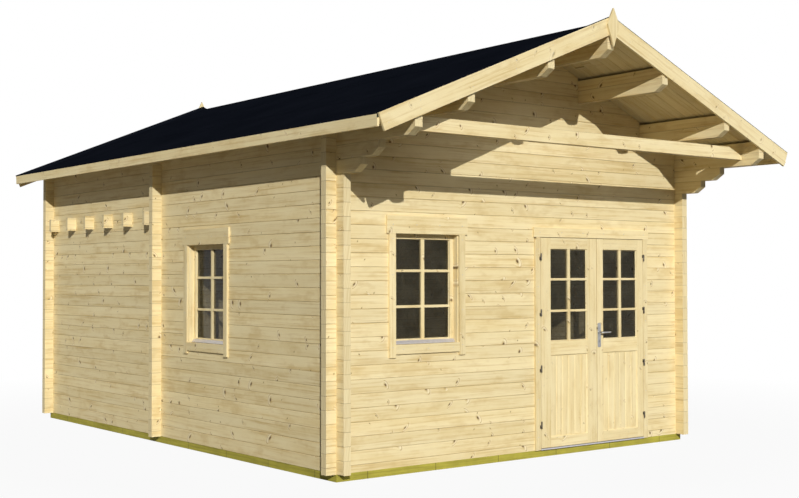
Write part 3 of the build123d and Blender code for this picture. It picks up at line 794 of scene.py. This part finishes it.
# Hinges, with rounded knuckles, the lower half of each one on the frame
HINGE_Y = FRONT - 0.030
HINGES = 4
HINGE_LOWEST = GROUND + LEAF_LIFT + 0.181
HINGE_SPREAD = 1.523
HINGE_HIGH = 0.059
HINGE_PLAY = 0.0005
KNUCKLE = 0.007
WING = 0.014
WING_DEPTHS = (FRONT - 0.025, FRONT - 0.020)
CAP = 0.0045
CAP_IN = 0.001
CAP_OUT = 0.004
PIN = 0.0035
PIN_HALF = 0.002
frame_irons = Joinery()
for side, name in SIDES:
    leaf_irons = Joinery()
    x = DOOR_X + side * OPENING_HALF
    for n in range(HINGES):
        low = HINGE_LOWEST + n * HINGE_SPREAD / (HINGES - 1)
        middle = low + HINGE_HIGH / 2
        top = low + HINGE_HIGH
        for irons, bottom, upper, turn in (
            (frame_irons, low, middle - HINGE_PLAY, side),
            (leaf_irons, middle + HINGE_PLAY, top, -side),
        ):
            irons.round((x, HINGE_Y, bottom), (x, HINGE_Y, upper), KNUCKLE, 24, EASE)
            near, far = sorted((x, x + turn * WING))
            irons.block((near, WING_DEPTHS[0], bottom), (far, WING_DEPTHS[1], upper), UP, FINE_EASE)
        leaf_irons.round((x, HINGE_Y, top - CAP_IN), (x, HINGE_Y, top + CAP_OUT), CAP, 16, EASE)
        frame_irons.round((x, HINGE_Y, low - CAP_OUT), (x, HINGE_Y, low + CAP_IN), CAP, 16, EASE)
        frame_irons.round((x, HINGE_Y, middle - PIN_HALF), (x, HINGE_Y, middle + PIN_HALF), PIN, 16)
    leaf_irons.finish(
        f"{name}_leaf_irons", DARK_STEEL, "dark_steel", f"{name}_door", (f"{name}_door_hinges",), True
    )
frame_irons.finish("frame_irons", DARK_STEEL, "dark_steel", "cabin", ("frame_hinges",), True)

# Lock plates and levers, drawn on the outer face and mirrored for the inner one
HANDLE_X = 0.9085
HANDLE_Z = GROUND + 1.045
HANDLE = Matrix.Translation((HANDLE_X, FRONT - CASING, HANDLE_Z))
INSIDE_HANDLE = (
    Matrix.Translation((HANDLE_X, FRONT - CASING + LEAF_T, HANDLE_Z)) @ Matrix.Scale(-1, 4, DEEP)
)
# Half the width, the foot, the head and the corners of the plate and of the raised key plate
PLATE = (0.0220, -0.140, 0.088, 0.012)
KEY_PLATE = (0.0055, -0.098, -0.068, 0.0054)
PLATE_DEPTHS = (-0.003, 0.0)
KEY_PLATE_DEPTHS = (-0.009, -0.002)
PLATE_EASE = 0.0009
KEY_PLATE_EASE = 0.0006
KEY_SLOT = ((-0.0008, -0.0094, -0.092), (0.0008, -0.0088, -0.074))
SCREW = 0.0038
SCREW_EASE = 0.0008
PLATE_SCREWS = (-0.128, 0.076)
PLATE_SCREW_DEPTHS = (-0.0042, -0.002)
ROSE = 0.0125
ROSE_DEPTHS = (-0.010, -0.0035)
SPINDLE = 0.0078
SPINDLE_DEPTHS = (-0.040, 0.021)
TUBE_SIDES = 20
GRIP_WIDE = 0.0068
GRIP_HIGH = 0.0078
TAPER = 0.12
TAPER_FROM = 5
# The grip's middle line, out from the plate, round the bend and along the leaf
GRIP = (
    (0.0, -0.030), (0.0, -0.038), (0.003, -0.0425), (0.008, -0.045), (0.016, -0.0455),
    (0.05, -0.0455), (0.09, -0.0445), (0.112, -0.043), (0.118, -0.041),
)


def rounded(half_x, low, high, radius, steps=6):
    """The outline of a plate with round corners, as X and Z."""
    points = []
    for x, z, start in (
        (half_x - radius, high - radius, 0), (radius - half_x, high - radius, 90),
        (radius - half_x, low + radius, 180), (half_x - radius, low + radius, 270),
    ):
        for n in range(steps + 1):
            angle = math.radians(start + 90 * n / steps)
            points.append((x + radius * math.cos(angle), z + radius * math.sin(angle)))
    return points


def grip(levers, place):
    """The bent grip of a lever, tapered towards its end."""
    tube = []
    for n, (x, y) in enumerate(GRIP):
        before, after = GRIP[max(n - 1, 0)], GRIP[min(n + 1, len(GRIP) - 1)]
        run = Vector((after[0] - before[0], after[1] - before[1])).normalized()
        taper = 1.0 - TAPER * max(n - TAPER_FROM, 0)
        row = []
        for k in range(TUBE_SIDES):
            angle = 2 * math.pi * k / TUBE_SIDES
            flat = GRIP_WIDE * taper * math.cos(angle)
            high = GRIP_HIGH * taper * math.sin(angle)
            row.append(levers.mesh.verts.new((x - run.y * flat, y + run.x * flat, high)))
        tube.append(row)
    for first, second in zip(tube, tube[1:]):
        for k in range(TUBE_SIDES):
            j = (k + 1) % TUBE_SIDES
            levers.mesh.faces.new((first[k], first[j], second[j], second[k]))
    levers.mesh.faces.new(tube[0])
    levers.mesh.faces.new(list(reversed(tube[-1])))
    levers.settle([v for row in tube for v in row], ACROSS, place)


plates = Joinery()
keyholes = Joinery()
levers = Joinery()
for place in (HANDLE, INSIDE_HANDLE):
    for plate, depths, ease in (
        (PLATE, PLATE_DEPTHS, PLATE_EASE), (KEY_PLATE, KEY_PLATE_DEPTHS, KEY_PLATE_EASE),
    ):
        plates.prism([[(x, y, z) for x, z in rounded(*plate)] for y in depths], UP, ease, place)
    keyholes.block(*KEY_SLOT, UP, 0.0, place)
    for z in PLATE_SCREWS:
        plates.round(*((0, y, z) for y in PLATE_SCREW_DEPTHS), SCREW, 16, SCREW_EASE, place)
    levers.round(*((0, y, 0) for y in ROSE_DEPTHS), ROSE, 32, WIDE_EASE, place)
    levers.round(*((0, y, 0) for y in SPINDLE_DEPTHS), SPINDLE, 24, 0.0, place)
    grip(levers, place)
plates.finish("lock_furniture", STEEL, "steel", "right_door", ("lock_plates",), True)
keyholes.finish("key_slots", DARK_STEEL, "dark_steel", "right_door")
levers.finish("lever_handles", STEEL, "steel", "lever", ("door_lever",), True)

# Fascias and finials
FASCIA_DROP = 0.0405
FASCIA_HIGH = 0.090
POINT_T = 0.020
POINT_HALF = 0.072
fascias = Joinery()
for side in (-1, 1):
    near, far = sorted((side * (EAVE - FASCIA), side * EAVE))
    foot = roof_under(EAVE) - FASCIA_DROP
    fascias.block((near, CANOPY_EDGE, foot), (far, REAR_EDGE, foot + FASCIA_HIGH), DEEP, WIDE_EASE)
fascias.finish("eave_boards", PALE_BOARDS, "trim", replaces=("eave_fascias",))

points = Joinery()
shoulder = RIDGE - 0.018
kite = ((0, RIDGE + 0.124), (POINT_HALF, shoulder), (0, RIDGE - 0.206), (-POINT_HALF, shoulder))
for front in (CANOPY_EDGE - TRIM - POINT_T, REAR_EDGE + TRIM):
    points.prism([[(x, y, z) for x, z in kite] for y in (front, front + POINT_T)], UP, WIDE_EASE)
points.finish("gable_points", PALE_BOARDS, "trim", replaces=("finials",))

# Screw heads in the casings, and nails in pairs where a barge board crosses a purlin
HEAD_DEPTHS = (-0.0012, 0.0010)
NAIL = 0.0030
NAIL_PLACES = (0.22, 0.695, 1.10, 1.55, 2.065, 2.36)
NAIL_ROWS = (-0.045, 0.020)
WINDOW_SCREWS = (
    [(side * 0.378, 0.02 + row * 0.30) for side in (-1, 1) for row in range(4)]
    + [(-0.375 + n * 0.25, 1.037) for n in range(4)]
    + [(-0.27 + n * 0.27, 0.002) for n in range(3)]
)
DOOR_SCREWS = (
    [(side * 0.7255, 0.12 + row * 0.34) for side in (-1, 1) for row in range(6)]
    + [(-0.70 + n * 0.28, 1.975) for n in range(6)]
)
fixings = Joinery()


def fixing(out, place, radius=SCREW):
    """A low domed head, standing out of a face that looks along minus Y."""
    ends = [(0, y, 0) for y in HEAD_DEPTHS]
    fixings.round(*ends, radius, 12, SCREW_EASE, place @ Matrix.Translation(out))


for place, screws in ((FRONT_WINDOW, WINDOW_SCREWS), (LEFT_WINDOW, WINDOW_SCREWS), (DOOR, DOOR_SCREWS)):
    for x, z in screws:
        fixing((x, -CASING, z), place)
REAR_FACE = Matrix.Rotation(math.pi, 4, "Z")
for place, y in ((Matrix(), CANOPY_EDGE - TRIM), (REAR_FACE, -REAR_EDGE - TRIM)):
    for side in (-1, 1):
        for x in NAIL_PLACES:
            for low in NAIL_ROWS:
                fixing((side * x, y, roof_under(x) + low), place, NAIL)
fixings.finish("fixing_heads", DRIP, "steel", smooth=True)

# Felt in strips, each lower edge over the strip below, turned up over the barge boards
FELT_T = 0.003
LAP = 0.003
STRIP = 0.88
TURN_UP = 0.004
for side, name in SIDES:
    reach = EAVE - FASCIA
    outline = [(0.0, BOARD), (reach, BOARD)]
    while reach > 0:
        outline.append((reach, BOARD + FELT_T + LAP))
        reach = max(reach - STRIP, 0.0)
        outline.append((reach, BOARD + FELT_T))
    felt = Joinery()
    ends = [
        [(side * x, y, roof_under(x) + t * LIFT) for x, t in outline]
        for y in (CANOPY_EDGE, REAR_EDGE)
    ]
    felt.prism(ends, DEEP)
    for outer, way in ((CANOPY_EDGE - TRIM, 1), (REAR_EDGE + TRIM, -1)):
        inner = outer + way * TRIM
        turned = inner + way * TURN_UP
        top = BARGE_TOP + TURN_UP
        profile = (
            (outer, BARGE_TOP), (outer, top), (turned, top),
            (turned, BOARD), (inner, BOARD), (inner, BARGE_TOP),
        )
        felt.prism([
            [(x, y, roof_under(x) + t * LIFT) for y, t in profile] for x in (0.0, side * EAVE)
        ])
    felt.finish(f"{name}_felt_strips", FELT, "felt", replaces=(f"{name}_roof_felt",))

LOG_V = 0.0042


def log_stack(name, along, face, low_end, high_end, joints, node):
    """A wall of separate logs with a V at each joint of the weather side, which is its high side."""
    logs = Joinery()
    back = face - LOG
    for low, high in zip(joints, joints[1:]):
        foot, head = GROUND + low * COURSE, GROUND + high * COURSE
        profile = (
            (back, foot), (face - LOG_V, foot), (face, foot + LOG_V),
            (face, head - LOG_V), (face - LOG_V, head), (back, head),
        )
        if along:
            ends = [[(p, end, z) for p, z in profile] for end in (low_end, high_end)]
        else:
            ends = [[(end, p, z) for p, z in profile] for end in (low_end, high_end)]
        logs.prism(ends, DEEP if along else ACROSS)
    logs.finish(name, SIDE_LOGS if along else CROSS_LOGS, "logs", replaces=(node,))


side_joints = range(22)
cross_joints = [0] + [n + 0.5 for n in range(24)]
long_ends = (FRONT - LOG_END, REAR + LOG_END)
short_ends = (-HALF_WIDTH - LOG_END, HALF_WIDTH + LOG_END)
log_stack("right_logs", True, HALF_WIDTH, *long_ends, side_joints, "right_wall")
log_stack("rear_logs", False, REAR, *short_ends, cross_joints, "rear_wall")

# Floor of the scene, white to the eye, which keeps a pale shadow near the building
GROUND_HALF = 60
SHADOW_NEAR = 4.0
SHADOW_FAR = 9.0
SHADOW_WHITE = 0.94
corners = [(-1, -1), (1, -1), (1, 1), (-1, 1)]
ground_mesh = bpy.data.meshes.new("ground")
ground_mesh.from_pydata([(x * GROUND_HALF, y * GROUND_HALF, 0) for x, y in corners], [], [range(4)])
ground = put("ground", ground_mesh)


def ground_finish():
    finish = Finish("white ground")
    finish.set(Base_Color=colour(0.20, 0.20, 0.195), Roughness=0.9, Specular_IOR_Level=0.0)
    place = finish.parts(finish.spot())
    away = finish.length(finish.vector(place[0], place[1]))
    white = finish.between(away, SHADOW_NEAR, SHADOW_FAR, SHADOW_WHITE, 1.0)
    glow = finish.node("ShaderNodeEmission", None, {"Color": WHITE, "Strength": 1.0})
    lit = Socket(finish, finish.shader.outputs[0])
    inputs = {0: finish.background_rays() * white, 1: lit, 2: glow}
    shown = finish.node("ShaderNodeMixShader", None, inputs)
    output = next(n for n in finish.tree.nodes if n.type == "OUTPUT_MATERIAL")
    finish.feed(output.inputs["Surface"], shown)
    return finish.made


ground_mesh.materials.append(ground_finish())


def sun(name, travel, level, angle):
    """A far lamp whose light travels along a direction, level 1 lights a facing surface fully."""
    lamp = bpy.data.lights.new(name, "SUN")
    lamp.energy = level * math.pi
    lamp.angle = math.radians(angle)
    put(name, lamp).rotation_euler = Vector(travel).to_track_quat("-Z", "Y").to_euler()


sun("key", (0.606, 1.0, -0.4755), 1.00, 0.4)
sun("fill", (0.0, 1.0, -0.50), 0.16, 25)
sun("back", (-0.7, -1.0, -0.45), 0.42, 30)

# The world gives a low soft light and shows white where nothing stands in front of it
SOFT_LIGHT = 0.08
world = Finish("pale room", bpy.data.worlds, "BACKGROUND")
world.set(Color=WHITE, Strength=world.between(world.background_rays(), 0.0, 1.0, SOFT_LIGHT, 1.0))
bpy.context.scene.world = world.made

# A camera where the photograph's was
FRAME_PIXELS = 799
LENS_PIXELS = 1241.2068
SENSOR = 36.0
STAND = (-7.7787, -10.6195, 1.6391)
YAW, RISE, ROLL = 0.6607, 0.0219, -0.0015
camera_data = bpy.data.cameras.new("camera")
camera_data.sensor_width = SENSOR
camera_data.lens = LENS_PIXELS / FRAME_PIXELS * SENSOR
camera = put("camera", camera_data)
aim = Matrix.Rotation(-YAW, 4, "Z") @ Matrix.Rotation(math.pi / 2 + RISE, 4, "X")
camera.matrix_world = Matrix.Translation(STAND) @ aim @ Matrix.Rotation(ROLL, 4, "Z")
bpy.context.scene.camera = camera
bpy.context.scene.view_settings.view_transform = "Standard"
